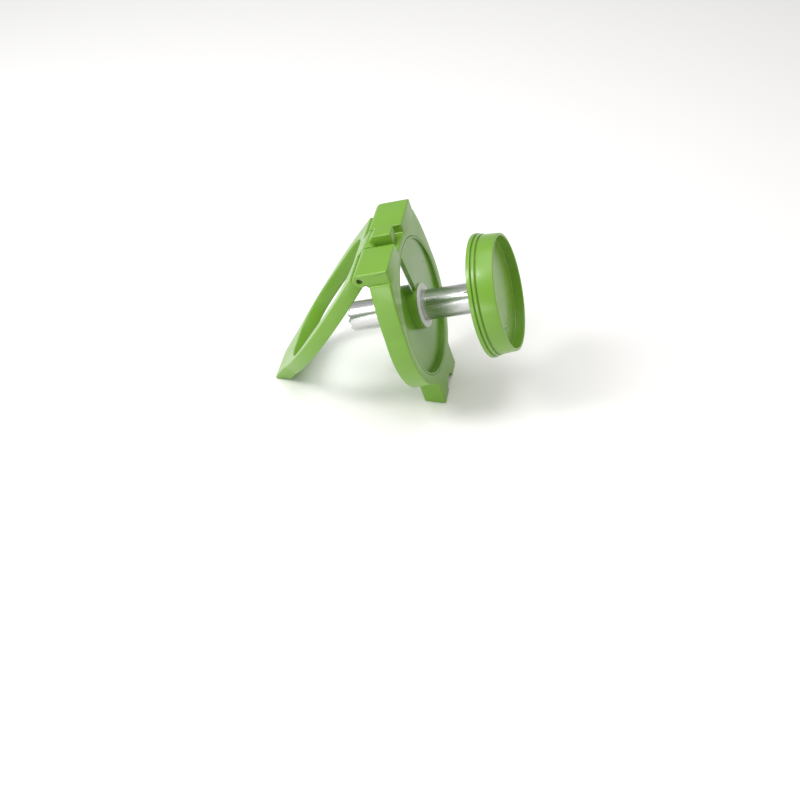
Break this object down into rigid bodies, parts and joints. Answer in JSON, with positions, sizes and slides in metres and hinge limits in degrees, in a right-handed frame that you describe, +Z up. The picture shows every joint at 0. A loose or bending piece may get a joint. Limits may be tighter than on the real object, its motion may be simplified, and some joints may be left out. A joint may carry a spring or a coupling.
{
  "type": "apple corer and spiral slicer",
  "caption": "Hand-twisted apple corer and spiral slicer: a bladed ring on a folding leg, with a pusher that turns and slides on its core tube.",
  "frame": {"origin": "middle of the object's length and width, on the surface that it stands on", "axes": "+X from the folding leg towards the pusher, +Y along the hinge pin, +Z up"},
  "size_m": [0.157, 0.099, 0.1126],
  "materials": {
    "green_body": "semi-gloss moulded",
    "rubber": "matt",
    "steel": "satin",
    "blade_steel": "ground and honed",
    "tube_steel": "satin drawn",
    "bearing_plastic": "satin"
  },
  "bodies": {
    "frame": {"ring_frame": "green_body", "slicing_disc": "green_body", "slicing_blade": "blade_steel", "blade_rivets": "steel", "disc_screws": "steel", "hinge_pin": "steel", "foot_pad_near": "rubber", "foot_pad_far": "rubber"},
    "leg": {"leg_plate": "green_body", "toe_pad": "rubber"},
    "sleeve": {"guide_sleeve": "bearing_plastic", "sleeve_clip": "steel"},
    "pusher": {"pusher_base": "green_body", "pusher_cap": "green_body", "base_screws": "steel", "core_tube": "tube_steel", "tube_clamp": "bearing_plastic", "prong_1": "steel", "prong_2": "steel", "prong_3": "steel", "prong_4": "steel"}
  },
  "joints": [
    {"name": "leg_fold", "type": "hinge", "parent": "frame", "child": "leg", "pos_m": [-0.0167, 0, 0.1005], "axis": [0, -1, 0], "range_deg": [0, 47]},
    {"name": "pusher_turn", "type": "hinge", "parent": "frame", "child": "sleeve", "pos_m": [0.009, 0, 0.05722], "axis": [0.9537, 0, 0.3007], "continuous": true},
    {"name": "pusher_slide", "type": "slide", "parent": "sleeve", "child": "pusher", "axis": [0.9537, 0, 0.3007], "range_m": [-0.032, 0.034]}
  ]
}
